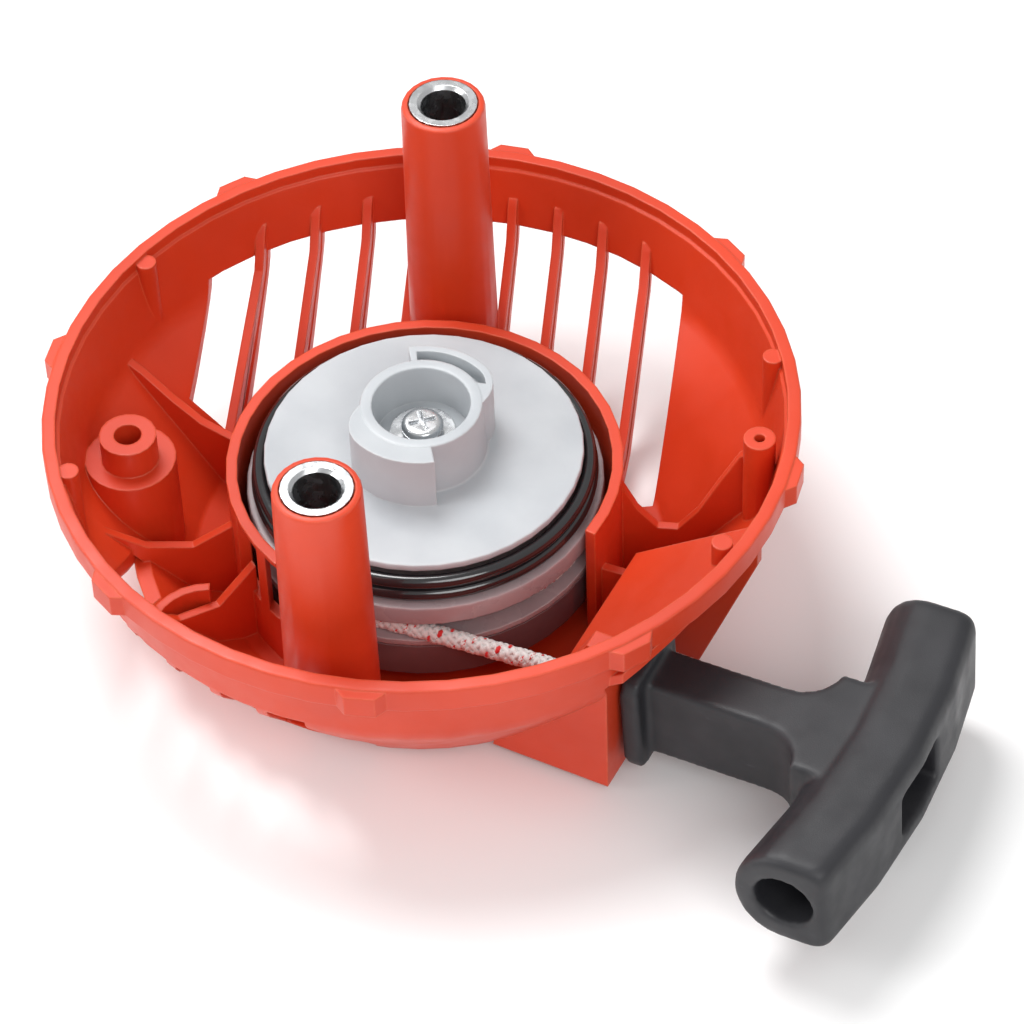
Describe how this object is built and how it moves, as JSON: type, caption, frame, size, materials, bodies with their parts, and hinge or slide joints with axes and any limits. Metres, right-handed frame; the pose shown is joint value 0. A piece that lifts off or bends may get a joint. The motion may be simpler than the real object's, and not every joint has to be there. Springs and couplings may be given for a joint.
{
  "type": "recoil starter",
  "caption": "Louvred orange bowl housing with two bushed posts, a sprung rope reel with drive cam in its middle, and a T handle on a braided rope.",
  "frame": {"origin": "on the reel's axis, in the flat face that the housing's closed side rests on", "axes": "+Z along the reel's axis towards the engine, +Y towards the rear mounting post; the rope is pulled out towards +X, 15 degrees to the -Y side"},
  "size_m": [0.1912, 0.1662, 0.0787],
  "materials": {
    "orange_nylon": "satin moulded nylon",
    "milky_nylon": "translucent milky nylon",
    "smoky_nylon": "translucent smoky brown nylon",
    "zinc_steel": "zinc plated",
    "spring_steel": "blued spring strip",
    "black_wire": "gloss black",
    "charcoal_nylon": "fine-grained charcoal",
    "brass_insert": "plain",
    "white_braid": "braided white with red tracer"
  },
  "bodies": {
    "housing_group": {"housing": "orange_nylon", "front_post_bush": "zinc_steel", "rear_post_bush": "zinc_steel", "rope_guide": "zinc_steel", "spindle_sleeve": "zinc_steel", "threaded_insert": "brass_insert", "thrust_washer": "milky_nylon", "retaining_washer": "zinc_steel", "centre_screw": "zinc_steel", "recoil_spring": "spring_steel"},
    "handle_group": {"pull_handle": "charcoal_nylon", "handle_knot": "white_braid", "rope_run": "white_braid"},
    "reel_group": {"rope_reel": "milky_nylon", "spring_case": "smoky_nylon", "spring_case_cover": "zinc_steel", "rope_coil": "white_braid", "reel_knot": "white_braid", "assist_spring": "black_wire"},
    "cam_group": {"drive_cam": "milky_nylon"}
  },
  "joints": [
    {"name": "handle_pull", "type": "slide", "parent": "housing_group", "child": "handle_group", "axis": [0.9659, -0.2588, 0], "range_m": [0, 0.75], "stiffness_N_per_m": 24, "springref_m": -0.25, "deforming": ["rope_run"]},
    {"name": "reel_spin", "type": "hinge", "parent": "housing_group", "child": "reel_group", "pos_m": [0, 0, 0.0178], "axis": [0, 0, 1], "range_deg": [0, 1720], "deforming": ["recoil_spring", "rope_coil"]},
    {"name": "cam_spin", "type": "hinge", "parent": "reel_group", "child": "cam_group", "pos_m": [0, 0, 0.0354], "axis": [0, 0, 1], "range_deg": [-200, 0], "stiffness_Nm_per_rad": 0.3, "springref_deg": 11.46, "deforming": ["assist_spring"]}
  ],
  "couplings": [
    {"joint": "reel_spin", "follows": "handle_pull", "rad_per_m": 40}
  ]
}
